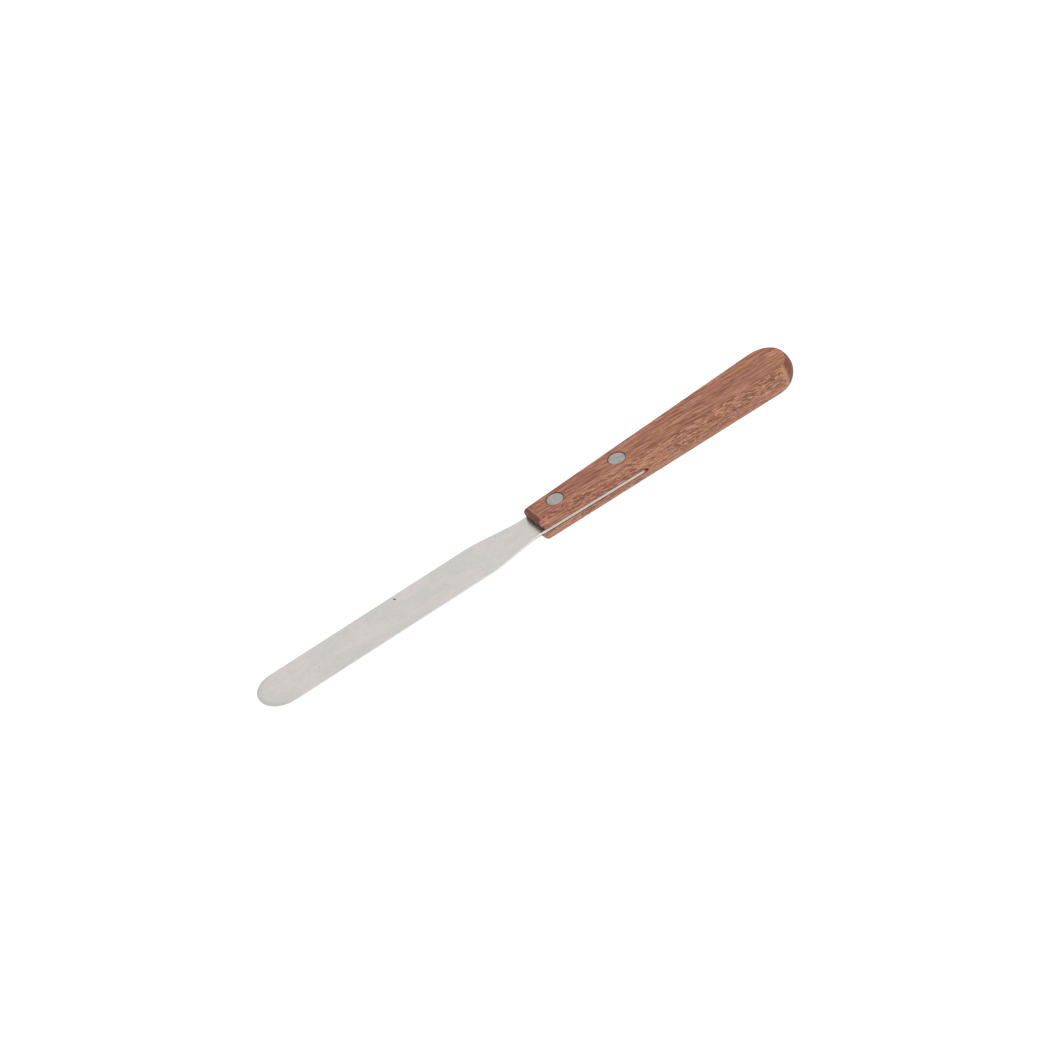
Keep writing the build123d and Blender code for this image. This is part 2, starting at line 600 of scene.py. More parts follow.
    def make(self) -> bpy.types.Material:
        """Builds the material.

        Returns:
            The material.
        """
        shader = Shader(self.name)
        clouds = shader.noise(self.clouds)
        lines = shader.noise(self.lines)
        cross = shader.noise(self.cross)
        pit = self.pits(shader)
        tone = self.edges(shader, self.sheet(shader, clouds, lines))
        shader.set("Base Color", shader.blend(pit, tone, self.pitted))
        shader.set("Metallic", 1.0)
        shader.set("Roughness", shader.ramp(clouds, 0.3, 0.7, self.roughness + 0.03, self.roughness - 0.03))
        ground = shader.relief(cross, self.cross_depth)
        ground = shader.relief(lines, self.line_depth, ground)
        shader.set("Normal", shader.relief(shader.sums("SUBTRACT", 1.0, pit), self.pit_depth, ground))
        return shader.material


@dataclass(frozen=True)
class OiledWood:
    """Reddish-brown hardwood with an interlocked grain, oiled and handled."""

    name: str = "oiled_wood"
    grain_turn: Triple = (0.0, radians(-2.0), radians(4.5))
    pore_turn: Triple = (0.0, radians(-5), 0.0)
    light: Colour = colour(182, 125, 102)
    middle: Colour = colour(160, 105, 84)
    dark: Colour = colour(122, 74, 55)
    pore: Colour = colour(98, 54, 36)
    pale_side: Colour = colour(198, 143, 117)
    # Pale fibres in the grain, and also the painted highlight along the end grain's edges.
    pale_fibre_and_highlight: Colour = colour(206, 154, 128)
    ochre: Colour = colour(172, 122, 74)
    rosy: Colour = colour(166, 104, 94)
    end_grain: Colour = colour(98, 56, 40)
    end_light: Colour = colour(134, 80, 58)
    # Painted shade colour for the kerf, the foot of the front and the gaps around the rivet heads.
    painted_shade_dark: Colour = colour(54, 46, 35)
    waves: Pattern = Pattern((28, 120, 120))
    wave_height: float = 2.0 * MM
    ribbons: Pattern = Pattern((34, 330, 330), detail=3, rough=0.55, warp=0.4)
    streaks: Pattern = Pattern((80, 1350, 1350), detail=3, rough=0.62, warp=0.2, moved=(3, 0, 5))
    threads: Pattern = Pattern((170, 3100, 3100), rough=0.6, moved=(1, 7, 0))
    hue: Pattern = Pattern((70, 300, 300), warp=0.5, moved=(9, 2, 4))
    combed: Pattern = Pattern((50, 2400, 2400), detail=1, moved=(6, 1, 4))
    regions: Pattern = Pattern((40, 200, 200), detail=1, moved=(2, 8, 3))
    fine_pores: Pattern = Pattern((300, 3600, 3600), detail=1, moved=(2, 1, 3))
    coarse_pores: Pattern = Pattern((380, 3500, 3500), moved=(5, 3, 8))
    short_pores: Pattern = Pattern((620, 3300, 3300), detail=1, moved=(7, 2, 1))
    crowds: Pattern = Pattern((60, 420, 420), moved=(4, 4, 1))
    stipple: Pattern = Pattern((900, 2600, 2600), rough=0.6)
    rays: Pattern = Pattern((200, 1500, 260), rough=0.6)
    specular: float = 0.28
    thread_depth: float = 0.012 * MM
    pore_depth: float = 0.05 * MM

    def figure(self, shader: Shader, grain: Socket, on_side: Socket) -> tuple[Socket, Socket]:
        """The long grain's colour, from its ribbons down to its fibres.

        Args:
            shader: The shader that it belongs to.
            grain: Coordinates whose X runs along the grain.
            on_side: 1 on the handle's sides, 0 on its flats.

        Returns:
            The colour and the fibres.
        """
        half_wave = self.wave_height / 2
        sway = shader.sums("MULTIPLY_ADD", shader.noise(self.waves, grain), self.wave_height, -half_wave)
        swirl = shader.shifted(grain, sway)
        ribbons = shader.noise(self.ribbons, swirl)
        streaks = shader.noise(self.streaks, swirl)
        threads = shader.noise(self.threads, swirl)
        hue = shader.noise(self.hue, grain)
        tone = shader.blend(shader.ramp(ribbons, 0.34, 0.64), self.middle, self.light)
        tone = shader.blend(shader.ramp(streaks, 0.50, 0.64, 0.0, 0.48), tone, self.dark)
        tone = shader.blend(shader.ramp(streaks, 0.46, 0.32, 0.0, 0.42), tone, self.pale_side)
        height = shader.split(shader.place.outputs["Object"])[2]
        paler = shader.sums("MULTIPLY", on_side, shader.ramp(height, 3.0 * MM, 5.4 * MM, 0.28, 0.60))
        tone = shader.blend(paler, tone, self.pale_side)
        tone = shader.blend(shader.ramp(hue, 0.52, 0.70, 0.0, 0.45), tone, self.ochre)
        tone = shader.blend(shader.ramp(threads, 0.50, 0.64, 0.0, 0.62), tone, self.dark)
        tone = shader.blend(shader.ramp(threads, 0.48, 0.36, 0.0, 0.60), tone, self.pale_fibre_and_highlight)
        region = shader.noise(self.regions, grain)
        combed = shader.ramp(shader.noise(self.combed, swirl), 0.50, 0.58)
        combed = shader.sums("MULTIPLY", combed, shader.ramp(region, 0.40, 0.56))
        combed = shader.sums("MULTIPLY", combed, shader.sums("SUBTRACT", 1.0, on_side))
        tone = shader.blend(shader.sums("MULTIPLY", combed, 0.80), tone, self.dark)
        tone = shader.blend(shader.ramp(region, 0.47, 0.60, 0.0, 0.20), tone, self.rosy)
        return tone, threads

    def open_pores(self, shader: Shader, grain: Socket, on_side: Socket) -> Socket:
        """The long grain's open pores, fine all over, and coarse and short on the sides.

        Args:
            shader: The shader that they belong to.
            grain: Coordinates whose X runs along the grain.
            on_side: 1 on the handle's sides, 0 on its flats.

        Returns:
            1 in a pore, 0 elsewhere.
        """
        height = shader.split(shader.place.outputs["Object"])[2]
        slanted = shader.mapped((1, 1, 1), turn=self.pore_turn, source=grain)
        crowded = shader.ramp(shader.noise(self.crowds, grain), 0.34, 0.54, 0.40, 1.0)
        crowded = shader.sums("MULTIPLY", crowded, shader.ramp(height, 3.2 * MM, 5.6 * MM, 0.8, 1.0))
        fine = shader.ramp(shader.noise(self.fine_pores, grain), 0.58, 0.68)
        fine = shader.sums("MULTIPLY", fine, crowded)
        coarse = shader.ramp(shader.noise(self.coarse_pores, slanted), 0.53, 0.58)
        short = shader.ramp(shader.noise(self.short_pores, slanted), 0.56, 0.61)
        coarse = shader.sums("MAXIMUM", coarse, short)
        coarse = shader.sums("MULTIPLY", coarse, shader.sums("MULTIPLY", on_side, crowded))
        return shader.sums("MAXIMUM", shader.sums("MULTIPLY", fine, 0.7), coarse)

    def ends(self, shader: Shader) -> Socket:
        """The end grain's colour, a close stipple of cut pores.

        Args:
            shader: The shader that it belongs to.

        Returns:
            The colour.
        """
        stipple = shader.ramp(shader.noise(self.stipple), 0.35, 0.65)
        rays = shader.ramp(shader.noise(self.rays), 0.5, 0.7, 0.0, 0.4)
        tone = shader.blend(stipple, self.end_grain, self.end_light)
        return shader.blend(rays, tone, self.dark)

    def painted_shade(self, shader: Shader) -> Socket:
        """Painted shade: the dark in the kerf, under the front's edge above the steel, and in the gaps around
        the rivet heads.

        Args:
            shader: The shader that it belongs to.

        Returns:
            1 where shade is painted, 0 elsewhere.
        """
        neck = neck_place()
        here = shader.split(shader.place.outputs["Object"])
        height = above_tang(shader, here, neck)
        half_kerf = Handle.kerf_height / 2
        kerf_end = neck.x + Handle.kerf_depth
        off_kerf = shader.ramp(shader.sums("ABSOLUTE", height), half_kerf + 0.2 * MM, half_kerf)
        kerf = shader.sums("MULTIPLY", off_kerf, shader.ramp(here[0], kerf_end, kerf_end - 0.3 * MM))
        front = shader.ramp(here[0], neck.x + 0.9 * MM, neck.x + 0.6 * MM)
        band_top = half_kerf + Handle.undercut_height
        band = shader.ramp(height, band_top + 0.1 * MM, band_top - 0.15 * MM)
        band = shader.sums("MULTIPLY", band, shader.ramp(height, 0.0, 0.3 * MM))
        painted_shade = shader.sums("MAXIMUM", kerf, shader.sums("MULTIPLY", band, front))
        for node in STUDS:
            away = shader.length(shader.mapped((1, 1, 0), (-middle_of(node).x, 0, 0)))
            ring = shader.ramp(away, Handle.counterbore_radius + 0.2 * MM, Handle.counterbore_radius)
            painted_shade = shader.sums("MAXIMUM", painted_shade, shader.sums("MULTIPLY", ring, 0.6))
        return painted_shade

    def make(self) -> bpy.types.Material:
        """Builds the material.

        Returns:
            The material.
        """
        shader = Shader(self.name)
        facing = shader.split(shader.place.outputs["Normal"])
        on_side = shader.ramp(shader.sums("ABSOLUTE", facing[1]), 0.30, 0.70)
        on_end = shader.ramp(shader.sums("ABSOLUTE", facing[0]), 0.14, 0.44)
        grain = shader.mapped((1, 1, 1), turn=self.grain_turn)
        tone, threads = self.figure(shader, grain, on_side)
        pore = self.open_pores(shader, grain, on_side)
        tone = shader.blend(shader.sums("MULTIPLY", pore, 0.72), tone, self.pore)
        tone = shader.blend(shader.sums("MULTIPLY", on_end, 0.92), tone, self.ends(shader))
        # Painted highlight: a light line where the flats and sides turn into the end grain.
        painted_edge_highlight = shader.sums("MULTIPLY", on_end, shader.sums("SUBTRACT", 1.0, on_end))
        tone = shader.blend(shader.sums("MULTIPLY", painted_edge_highlight, 1.6), tone, self.pale_fibre_and_highlight)
        # Painted shade: darkens the wood in the kerf, under the front's edge and around the rivet heads.
        tone = shader.blend(shader.sums("MULTIPLY", self.painted_shade(shader), 0.92), tone, self.painted_shade_dark)
        shader.set("Base Color", tone)
        shader.set("Roughness", shader.ramp(threads, 0.3, 0.7, 0.52, 0.64))
        shader.set("Specular IOR Level", self.specular)
        fibres = shader.relief(threads, self.thread_depth)
        shader.set("Normal", shader.relief(shader.sums("SUBTRACT", 1.0, pore), self.pore_depth, fibres))
        return shader.material


@dataclass(frozen=True)
class RivetMetal:
    """Dull grey rivet metal, filed flush and worn."""

    name: str = "rivet_metal"
    light: Colour = colour(203, 198, 192)
    dark: Colour = colour(184, 184, 178)
    warm: Colour = colour(207, 190, 187)
    green: Colour = colour(178, 191, 180)
    scuffed: Colour = colour(214, 214, 212)
    roughness: float = 0.48
    clouds: Pattern = Pattern(scale=380, detail=3, rough=0.6, warp=0.5)
    hue: Pattern = Pattern(scale=520, warp=0.3, moved=(0.4, 0.2, 0))
    scuffs: Pattern = Pattern((900, 14000, 900), rough=0.6, turn=(0, 0, radians(24)))
    scuff_depth: float = 0.0015 * MM

    def make(self) -> bpy.types.Material:
        """Builds the material.

        Returns:
            The material.
        """
        shader = Shader(self.name)
        clouds = shader.noise(self.clouds)
        hue = shader.noise(self.hue)
        scuffs = shader.noise(self.scuffs)
        tone = shader.blend(shader.ramp(clouds, 0.42, 0.58), self.dark, self.light)
        tone = shader.blend(shader.ramp(hue, 0.50, 0.62, 0.0, 0.8), tone, self.warm)
        tone = shader.blend(shader.ramp(hue, 0.48, 0.38, 0.0, 0.6), tone, self.green)
        tone = shader.blend(shader.ramp(scuffs, 0.5, 0.68, 0.0, 0.35), tone, self.scuffed)
        shader.set("Base Color", tone)
        shader.set("Metallic", 1.0)
        shader.set("Roughness", shader.ramp(clouds, 0.3, 0.7, self.roughness + 0.06, self.roughness - 0.06))
        shader.set("Normal", shader.relief(scuffs, self.scuff_depth))
        return shader.material


# ---------------------------------------------------------------- the knife


def neck_place() -> Vector:
    """The middle of the handle's front face, where the blade comes out.

    Returns:
        The place in metres.
    """
    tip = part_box("blade")[0][0]
    return Vector((tip + Blade.reach * cos(TANG_TILT), 0, middle_of("handle").z))


@dataclass
class Blade:
    """The round-tipped steel strip, its shoulders, its neck and its tang."""

    reach: float = 101.6 * MM
    width: float = 16.0 * MM
    neck_width: float = 10.5 * MM
    shoulder_length: float = 22.2 * MM
    tang_length: float = 38.2 * MM
    tang_flare: float = 0.0684
    tang_corner: float = 0.3 * MM
    tang_thickness: float = 1.05 * MM
    grind_length: float = 5.0 * MM
    neck_thickness: float = 0.66 * MM
    shoulder_thickness: float = 0.54 * MM
    tip_thickness: float = 0.4 * MM
    edge_round: float = 0.14 * MM
    hole_radius: float = 1.65 * MM
    hole_facets: int = 48
    drill_length: float = 6.0 * MM
    edge_facets: int = 3
    tip_steps: int = 22
    shoulder_steps: int = 16
    strip_steps: int = 24
    tang_steps: int = 8
    corner_steps: int = 6
    piece: bpy.types.Object | None = field(default=None, repr=False)

    def width_at(self, along: float) -> float:
        """The strip's width at a distance along it, from the neck towards the tang's end.

        Args:
            along: The distance in metres, negative on the blade.

        Returns:
            The width in metres.
        """
        radius = self.width / 2
        if along > 0:
            widening = self.tang_flare * along
            into_corner = max(0.0, along - self.tang_length + self.tang_corner)
            corner = self.tang_corner - sqrt(max(0.0, self.tang_corner**2 - into_corner**2))
            return self.neck_width + widening - 2 * corner
        if along > -self.shoulder_length:
            part = (along + self.shoulder_length) / self.shoulder_length
            return self.width + (self.neck_width - self.width) * part * part * (3 - 2 * part)
        from_centre = max(0.0, radius - (along + self.reach))
        return 2 * sqrt(max(0.0, radius**2 - from_centre**2))

    def thickness_at(self, along: float) -> float:
        """The strip's thickness at a distance along it.

        Args:
            along: The distance from the neck in metres, negative on the blade.

        Returns:
            The thickness in metres.
        """
        if along >= 0:
            return self.tang_thickness
        if along > -self.grind_length:
            part = -along / self.grind_length
            return self.tang_thickness + (self.neck_thickness - self.tang_thickness) * part * (2 - part)
        if along > -self.shoulder_length:
            part = (-along - self.grind_length) / (self.shoulder_length - self.grind_length)
            return self.neck_thickness + (self.shoulder_thickness - self.neck_thickness) * part
        part = (-along - self.shoulder_length) / (self.reach - self.shoulder_length)
        return self.shoulder_thickness + (self.tip_thickness - self.shoulder_thickness) * part

    def stations(self) -> list[float]:
        """The places along the strip where it is cut across, close together where it curves.

        Returns:
            Distances from the neck in metres, from the tip to the tang's end.
        """
        radius = self.width / 2
        turns = [pi / 2 * step / self.tip_steps for step in range(1, self.tip_steps)]
        tip = [radius * (1 - cos(turn)) - self.reach for turn in turns]
        straight = self.reach - radius - self.shoulder_length
        strip = [radius - self.reach + straight * step / self.strip_steps for step in range(self.strip_steps)]
        parts = [step / self.shoulder_steps for step in range(self.shoulder_steps + 1)]
        shoulder = [self.shoulder_length * (part - 1) for part in parts]
        tang = [self.tang_length * step / self.tang_steps for step in range(1, self.tang_steps - 1)]
        turns = [pi / 2 * step / self.corner_steps for step in range(self.corner_steps)]
        corner = [self.tang_length - self.tang_corner * (1 - sin(turn)) for turn in turns]
        return tip + strip + shoulder + tang + corner

    def build(self) -> None:
        """Models the strip flat from a block, then tilts it as the tang lies in its kerf."""
        neck = neck_place()
        length = self.reach + self.tang_length
        bpy.ops.mesh.primitive_cube_add(size=1, location=(neck.x - self.reach + length / 2, 0, neck.z))
        self.piece = fresh("blade_strip")
        self.piece.scale = (length, self.width, self.tang_thickness)
        settle(self.piece)
        open_up(self.piece, Pick.POINTS)
        for along in self.stations():
            bpy.ops.mesh.select_all(action="SELECT")
            bpy.ops.mesh.bisect(plane_co=(neck.x + along, 0, neck.z), plane_no=(1, 0, 0))
        for along in [-self.reach, *self.stations(), self.tang_length]:
            place = neck.x + along
            choose(self.piece, Pick.POINTS, lambda point: abs(point.x - place) < WELD)
            factors = (1, self.width_at(along) / self.width, self.thickness_at(along) / self.tang_thickness)
            resize(factors, (place, 0, neck.z))
        weld()
        turn_over(TANG_TILT, "Y", neck)
        close_up()
        self.drill()
        ease_edges(self.piece, self.edge_round, self.edge_facets, sharper_than=50)
        smooth(self.piece)
        log.info("blade: %d faces", len(self.piece.data.polygons))

    def drill(self) -> None:
        """Makes the tang's two rivet holes."""
        for node in STUDS:
            centre = middle_of(node)
            bpy.ops.mesh.primitive_cylinder_add(
                vertices=self.hole_facets,
                radius=self.hole_radius,
                depth=self.drill_length,
                location=(centre.x, 0, centre.z),
            )
            carve(self.piece, fresh("drill"))

    def dress(self, finish: SatinSteel) -> None:
        """Gives the strip its finish and its place in the frame.

        Args:
            finish: The steel.
        """
        self.piece.data.materials.clear()
        self.piece.data.materials.append(finish.make())
        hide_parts("blade")
        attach(self.piece, "root")


@dataclass
class Handle:
    """The one-piece wooden handle with its saw kerf and its counterbored rivet holes."""

    front_width: float = 10.6 * MM
    butt_width: float = 16.7 * MM
    butt_length: float = 9.8 * MM
    butt_profile: float = 0.514
    side_bulge: float = 1.5 * MM
    crease_reach: float = 0.27 * MM
    front_top_drop: float = 1.5 * MM
    front_top_reach: float = 2.0 * MM
    lip_reach: float = 0.9 * MM
    lip_setback: float = 1.75 * MM
    lip_fullness: float = 0.42 * MM
    kerf_height: float = 1.3 * MM
    lip_rounding: float = 2.0 * MM
    undercut_height: float = 1.4 * MM
    undercut_depth: float = 0.35 * MM
    kerf_depth: float = 38.64 * MM
    stop_hole_radius: float = 0.42 * MM
    stop_hole_place: float = 38.72 * MM
    saw_radius: float = 50.0 * MM
    counterbore_radius: float = 2.9 * MM
    counterbore_depth: float = 1.3 * MM
    hole_radius: float = 1.65 * MM
    edge_ease: float = 0.09 * MM
    spare: float = 5.0 * MM
    chisel_start: float = 0.5 * MM
    barrel_rings: int = 9
    butt_facets: int = 20
    crease_facets: int = 4
    edge_facets: int = 2
    lip_round_steps: int = 8
    lip_steps: int = 6
    front_top_steps: int = 10
    saw_facets: int = 360
    hole_facets: int = 72
    stop_hole_facets: int = 24
    piece: bpy.types.Object | None = field(default=None, repr=False)

    def build(self) -> None:
        """Models the handle: the barrelled body, its shaped front, its kerf and its holes."""
        self.body()
        self.shape_front()
        self.saw_kerf()
        self.bore_holes()
        ease_edges(self.piece, self.edge_ease, self.edge_facets, sharper_than=38)
        smooth(self.piece)
        log.info("handle: %d faces", len(self.piece.data.polygons))

    def body(self) -> None:
        """Insets the widest outline upwards, ring by ring, and mirrors it downwards."""
        neck = neck_place()
        butt_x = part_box("handle")[1][0]
        slope = (self.butt_width - self.front_width) / (butt_x - self.butt_length - neck.x)
        start_x = neck.x - self.spare
        length = butt_x - start_x
        bpy.ops.mesh.primitive_plane_add(size=1, location=(start_x + length / 2, 0, 0))
        self.piece = fresh("wooden_handle")
        start_width = self.front_width - slope * self.spare
        corner_width = self.butt_width + slope * self.butt_length
        self.piece.scale = (length, start_width, 1)
        settle(self.piece)
        open_up(self.piece, Pick.POINTS)
        choose(self.piece, Pick.POINTS, lambda point: point.x > butt_x - WELD)
        resize((1, corner_width / start_width, 1), (butt_x, 0, 0))
        squeeze = corner_width / 2 / self.butt_length
        bpy.ops.mesh.select_all(action="SELECT")
        resize((squeeze, 1, 1), (butt_x, 0, 0))
        choose(self.piece, Pick.POINTS, lambda point: point.x > butt_x - WELD)
        bpy.ops.mesh.bevel(
            offset=corner_width / 2, segments=self.butt_facets, profile=self.butt_profile, affect="VERTICES"
        )
        bpy.ops.mesh.select_all(action="SELECT")
        resize((1 / squeeze, 1, 1), (butt_x, 0, 0))
        bpy.ops.mesh.remove_doubles(threshold=WELD)
        half = middle_of("handle").z
        risen, pulled_in = 0.0, 0.0
        for ring in range(1, self.barrel_rings + 1):
            level = half * ring / self.barrel_rings
            inset = self.side_bulge * (level / half) ** 2
            choose(self.piece, Pick.FACES, lambda point: point.z > risen - WELD)
            bpy.ops.mesh.inset(thickness=inset - pulled_in, depth=level - risen, use_even_offset=True)
            risen, pulled_in = level, inset
        choose(self.piece, Pick.EDGES, lambda point: point.z > half - WELD)
        bpy.ops.mesh.bevel(offset=self.crease_reach, segments=self.crease_facets, affect="EDGES")
        close_up()
        mirror = self.piece.modifiers.new("underside", "MIRROR")
        mirror.use_axis = (False, False, True)
        mirror.merge_threshold = WELD
        bpy.ops.object.modifier_apply(modifier=mirror.name)
        open_up(self.piece, Pick.POINTS)
        weld()
        shift((0, 0, half))
        close_up()

    def front_at(self, level: float) -> float:
        """Where the handle's front stands at a height, with its rounded top edge and its lower lip.

        Args:
            level: The height above the underside in metres.

        Returns:
            The front's x in metres.
        """
        neck = neck_place()
        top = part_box("handle")[1][2]
        into_round = max(0.0, level - top + self.front_top_drop) / self.front_top_drop
        if into_round > 0:
            return neck.x + self.front_top_reach * (1 - sqrt(max(0.0, 1 - into_round**2)))
        if level > neck.z:
            part = max(0.0, 1 - (level - neck.z - self.kerf_height / 2) / self.undercut_height)
            return neck.x + self.undercut_depth * part
        if level < self.lip_rounding * (1 - cos(self.lip_turn)):
            round_x = neck.x + self.lip_setback + self.lip_rounding * tan(self.lip_turn / 2)
            return round_x - sqrt(self.lip_rounding**2 - (self.lip_rounding - level) ** 2)
        part = 1 - level / neck.z
        bulge = 4 * self.lip_fullness * part * (1 - part)
        return neck.x - self.lip_reach + (self.lip_reach + self.lip_setback) * part - bulge

    @property
    def lip_turn(self) -> float:
        """The angle that the lip's profile turns through where it meets the underside, in radians."""
        return atan2(neck_place().z, self.lip_reach + self.lip_setback + 4 * self.lip_fullness)

    def shape_front(self) -> None:
        """Cuts the front to its side profile with a chisel whose edge has that profile."""
        neck = neck_place()
        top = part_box("handle")[1][2]
        depth = self.lip_setback + 2 * self.spare
        edge_x = neck.x + self.lip_setback + self.chisel_start
        height = top + 2 * self.spare
        bpy.ops.mesh.primitive_cube_add(size=1, location=(edge_x - depth / 2, 0, top / 2))
        chisel = fresh("chisel")
        chisel.scale = (depth, 2 * self.butt_width, height)
        settle(chisel)
        round_start = top - self.front_top_drop
        turns = [self.lip_turn * step / self.lip_round_steps for step in range(self.lip_round_steps + 1)]
        lip_round = [self.lip_rounding * (1 - cos(turn)) for turn in turns]
        rise = neck.z - lip_round[-1]
        lip = [lip_round[-1] + rise * step / self.lip_steps for step in range(1, self.lip_steps + 1)]
        undercut_low = neck.z + self.kerf_height / 2
        undercut = [neck.z + WELD * 2, undercut_low, undercut_low + self.undercut_height]
        turns = [pi / 2 * step / self.front_top_steps for step in range(self.front_top_steps + 1)]
        rounding = [round_start + self.front_top_drop * sin(turn) for turn in turns]
        levels = [*lip_round, *lip, *undercut, *rounding]
        open_up(chisel, Pick.POINTS)
        for level in levels:
            bpy.ops.mesh.select_all(action="SELECT")
            bpy.ops.mesh.bisect(plane_co=(0, 0, level), plane_no=(0, 0, 1))
        for level in [-self.spare, *levels, top + self.spare]:
            choose(
                chisel,
                Pick.POINTS,
                lambda point: point.x > edge_x - WELD and abs(point.z - level) < WELD / 2,
            )
            shift((self.front_at(min(max(level, 0.0), top)) - edge_x, 0, 0))
        bpy.ops.mesh.select_all(action="SELECT")
        bpy.ops.mesh.normals_make_consistent(inside=False)
        close_up()
        carve(self.piece, chisel)

    def saw_kerf(self) -> None:
        """Runs a round saw in from the front, as the kerf was cut, into a small hole that stops it."""
        neck = neck_place()
        bpy.ops.mesh.primitive_cylinder_add(
            vertices=self.saw_facets,
            radius=self.saw_radius,
            depth=self.kerf_height,
            location=(neck.x + self.kerf_depth - self.saw_radius, 0, neck.z),
        )
        saw = fresh("saw")
        settle(saw)
        open_up(saw, Pick.POINTS)
        bpy.ops.mesh.select_all(action="SELECT")
        turn_over(TANG_TILT, "Y", neck)
        close_up()
        carve(self.piece, saw)
        bpy.ops.mesh.primitive_cylinder_add(
            vertices=self.stop_hole_facets,
            radius=self.stop_hole_radius,
            depth=2 * self.butt_width,
            location=(neck.x + self.stop_hole_place, 0, neck.z - self.stop_hole_place * tan(TANG_TILT)),
            rotation=(pi / 2, 0, 0),
        )
        carve(self.piece, fresh("stop_drill"))

    def bore_holes(self) -> None:
        """Drills the rivet holes and counterbores them from both flats."""
        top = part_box("handle")[1][2]
        for node in STUDS:
            centre = middle_of(node)
            bores = [(self.hole_radius, 2 * top, top / 2)]
            bores += [(self.counterbore_radius, 2 * self.counterbore_depth, level) for level in (0.0, top)]
            for radius, depth, level in bores:
                bpy.ops.mesh.primitive_cylinder_add(
                    vertices=self.hole_facets, radius=radius, depth=depth, location=(centre.x, 0, level)
                )
                carve(self.piece, fresh("cutter"))

    def dress(self, finish: OiledWood) -> None:
        """Gives the handle its finish and its place in the frame.

        Args:
            finish: The wood.
        """
        self.piece.data.materials.clear()
        self.piece.data.materials.append(finish.make())
        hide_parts("handle")
        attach(self.piece, "root")


class Half(Enum):
    """The two halves of a rivet."""

    STUD = "stud"
    SOCKET = "socket"


@dataclass
class RivetHalf:
    """One half of a cutlery rivet: a crowned head, and a shank or a tube behind it."""

    station: str
    half: Half
    head_radius: float = 2.78 * MM
    head_thickness: float = 1.2 * MM
    crown: float = 0.1 * MM
    rim_round: float = 0.2 * MM
    shank_radius: float = 1.05 * MM
    tube_radius: float = 1.6 * MM
    bore_depth: float = 7.0 * MM
    head_facets: int = 72
    rim_facets: int = 4
    crown_rings: int = 5
    piece: bpy.types.Object | None = field(default=None, repr=False)

    @property
    def node(self) -> str:
        """The frame node that this half stands for."""
        return f"{self.station}_rivet_{self.half.value}"

    def build(self) -> None:
        """Models the half upright with its head on top, and turns the socket's over."""
        low, high = (Vector(corner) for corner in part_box(self.node))
        centre = (low + high) / 2
        rim_top = high.z - self.crown
        bpy.ops.mesh.primitive_cylinder_add(
            vertices=self.head_facets,
            radius=self.head_radius,
            depth=self.head_thickness,
            location=(centre.x, centre.y, rim_top - self.head_thickness / 2),
        )
        self.piece = fresh(f"{self.node}_piece")
        settle(self.piece)
        seat = rim_top - self.head_thickness
        stem = self.shank_radius if self.half is Half.STUD else self.tube_radius
        open_up(self.piece, Pick.FACES)
        choose(self.piece, Pick.FACES, lambda point: point.z < seat + WELD)
        bpy.ops.mesh.inset(thickness=self.head_radius - stem, depth=0)
        bpy.ops.mesh.extrude_region_move(TRANSFORM_OT_translate={"value": (0, 0, low.z - seat)})
        if self.half is Half.SOCKET:
            bpy.ops.mesh.inset(thickness=self.tube_radius - self.shank_radius, depth=0)
            bpy.ops.mesh.extrude_region_move(TRANSFORM_OT_translate={"value": (0, 0, self.bore_depth)})
        choose(self.piece, Pick.EDGES, lambda point: point.z > rim_top - WELD)
        bpy.ops.mesh.bevel(offset=self.rim_round, segments=self.rim_facets, affect="EDGES")
        self.raise_crown(centre, rim_top)
        weld()
        if self.half is Half.SOCKET:
            turn_over(pi, "X", centre)
        close_up()
        smooth(self.piece, up_to=40)
        log.info("%s: %d faces", self.piece.name, len(self.piece.data.polygons))

    def raise_crown(self, centre: Vector, rim_top: float) -> None:
        """Insets the head's flat ring by ring, each a little higher and less steep than the last.

        Args:
            centre: The middle of the half.
            rim_top: The height of the flat.
        """
        flat_radius = self.head_radius - self.rim_round
        step = flat_radius / (self.crown_rings + 1)
        for ring in range(self.crown_rings):
            inner = flat_radius - step * ring + WELD
            choose(
                self.piece,
                Pick.FACES,
                lambda point: point.z > rim_top - WELD and (point - centre).xy.length < inner,
            )
            rise = self.crown * (2 * (self.crown_rings - ring) - 1) / self.crown_rings**2
            bpy.ops.mesh.inset(thickness=step, depth=rise)

    def dress(self, material: bpy.types.Material) -> None:
        """Gives this half its finish and its place in the frame.

        Args:
            material: The finished metal.
        """
        self.piece.data.materials.clear()
        self.piece.data.materials.append(material)
        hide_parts(self.node)
        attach(self.piece, "root")


# ---------------------------------------------------------------- the studio


@dataclass(frozen=True)
class Softbox:
    """A square area light that faces the knife and leaves no glare on its steel."""

    name: str
    place: Triple
    size: float
    power: float

    def hang(self, target: Vector) -> None:
        """Adds the light.

        Args:
            target: Where it points.
        """
        data = bpy.data.lights.new(self.name, "AREA")
        data.energy = self.power
        data.shape = "SQUARE"
        data.size = self.size
        light = bpy.data.objects.new(self.name, data)
        light.visible_glossy = False
        light.location = self.place
        light.rotation_euler = (target - Vector(self.place)).to_track_quat("-Z", "Y").to_euler()
        bpy.context.collection.objects.link(light)


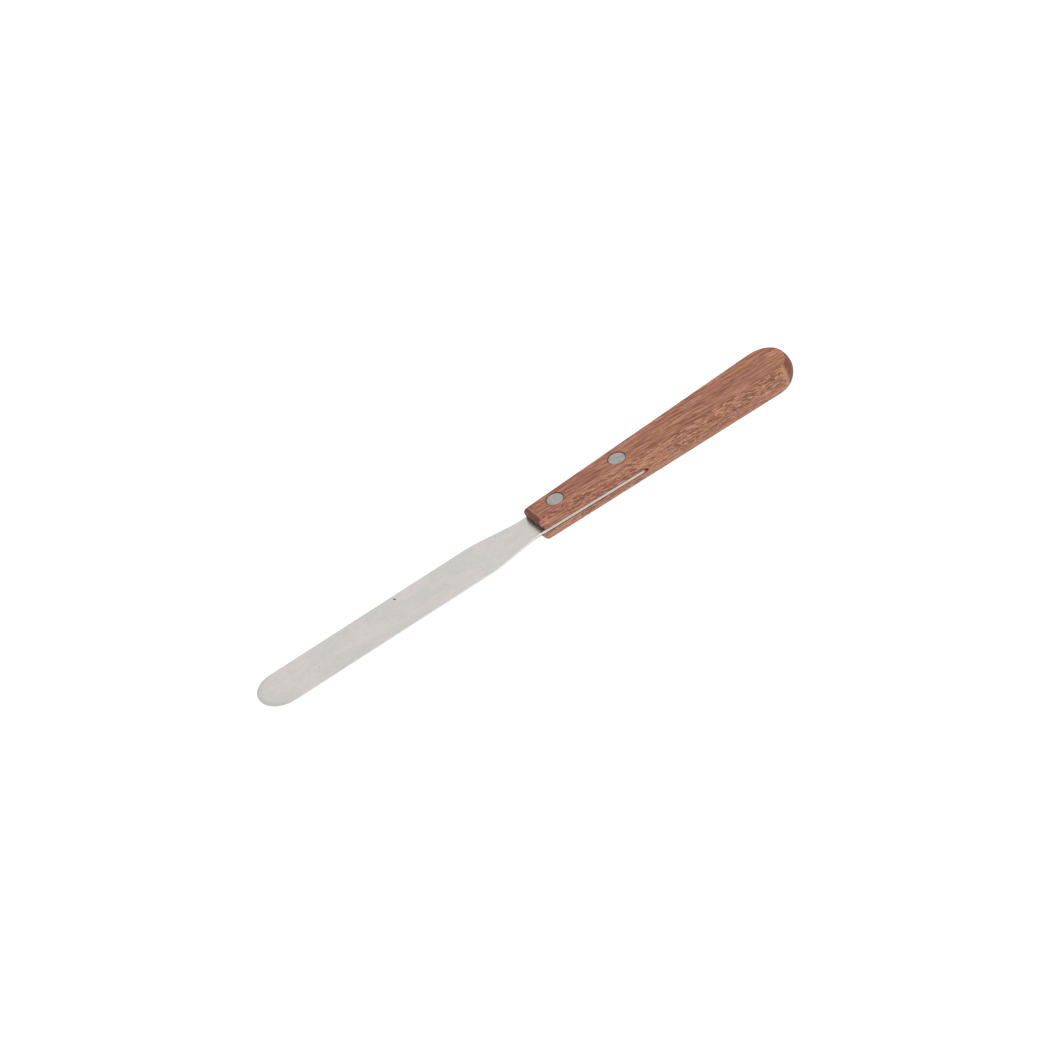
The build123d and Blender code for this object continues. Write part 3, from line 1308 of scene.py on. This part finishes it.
@dataclass
class Studio:
    """A pale floor, soft lights and the camera."""

    azimuth: float = -20.402
    elevation: float = 38.7865
    roll: float = 20.3396
    distance: float = 1.1
    sensor: float = 36.0
    lens: float = 122.71
    aim_right: float = -3.189 * MM
    aim_up: float = 4.197 * MM
    world_light: float = 0.70
    white: Colour = (1, 1, 1, 1)
    floor_size: float = 6.0
    floor_drop: float = 0.2 * MM
    floor_grey: Colour = (0.2, 0.2, 0.2, 1)
    floor_roughness: float = 0.9
    floor_glow: float = 0.96
    key: Softbox = Softbox("key", place=(0.45, -0.60, 0.70), size=0.6, power=3.0)
    top: Softbox = Softbox("top", place=(0.25, 0.20, 1.10), size=0.9, power=2.1)

    def build(self) -> None:
        """Sets up the floor, the world, the lights and the camera."""
        self.floor()
        self.world()
        target = Vector((0, 0, middle_of("handle").z))
        self.key.hang(target)
        self.top.hang(target)
        self.camera()

    def floor(self) -> None:
        """A large white sheet under the knife, which glows a little so that it stays white to its ends."""
        bpy.ops.mesh.primitive_plane_add(size=self.floor_size, location=(0, 0, -self.floor_drop))
        sheet = fresh("studio_floor")
        shader = Shader("floor_white")
        shader.set("Base Color", self.floor_grey)
        shader.set("Roughness", self.floor_roughness)
        shader.set("Emission Color", self.white)
        shader.set("Emission Strength", self.floor_glow)
        sheet.data.materials.append(shader.material)

    def world(self) -> None:
        """An even white surrounding light."""
        world = bpy.data.worlds.new("studio_air")
        world.use_nodes = True
        air = world.node_tree.nodes["Background"]
        air.inputs["Color"].default_value = self.white
        air.inputs["Strength"].default_value = self.world_light
        bpy.context.scene.world = world
        bpy.context.scene.view_settings.view_transform = "Standard"

    def camera(self) -> None:
        """A long lens held a little rolled, so that the knife lies along the view's diagonal."""
        turn, rise, roll = radians(self.azimuth), radians(self.elevation), radians(self.roll)
        back = Vector((sin(turn) * cos(rise), -cos(turn) * cos(rise), sin(rise)))
        level_right = Vector((cos(turn), sin(turn), 0))
        level_up = back.cross(level_right)
        view_right = level_right * cos(roll) - level_up * sin(roll)
        view_up = level_right * sin(roll) + level_up * cos(roll)
        place = back * self.distance
        target = view_right * self.aim_right + view_up * self.aim_up
        aim = (place - target).normalized()
        right = (view_right - aim * view_right.dot(aim)).normalized()
        up = aim.cross(right)
        data = bpy.data.cameras.new("view")
        data.lens = self.lens
        data.sensor_width = self.sensor
        camera = bpy.data.objects.new("view", data)
        turned = Matrix((right, up, aim)).transposed().to_4x4()
        camera.matrix_world = Matrix.Translation(place) @ turned
        bpy.context.collection.objects.link(camera)
        bpy.context.scene.camera = camera


def main() -> None:
    """Builds the knife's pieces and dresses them."""
    logging.basicConfig(level=logging.INFO, format="%(name)s: %(message)s")
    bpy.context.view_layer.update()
    blade = Blade()
    blade.build()
    blade.dress(SatinSteel())
    handle = Handle()
    handle.build()
    handle.dress(OiledWood())
    rivet_metal = RivetMetal().make()
    for station in ("front", "rear"):
        for half in Half:
            rivet = RivetHalf(station, half)
            rivet.build()
            rivet.dress(rivet_metal)
    Studio().build()


if __name__ == "__main__":
    main()
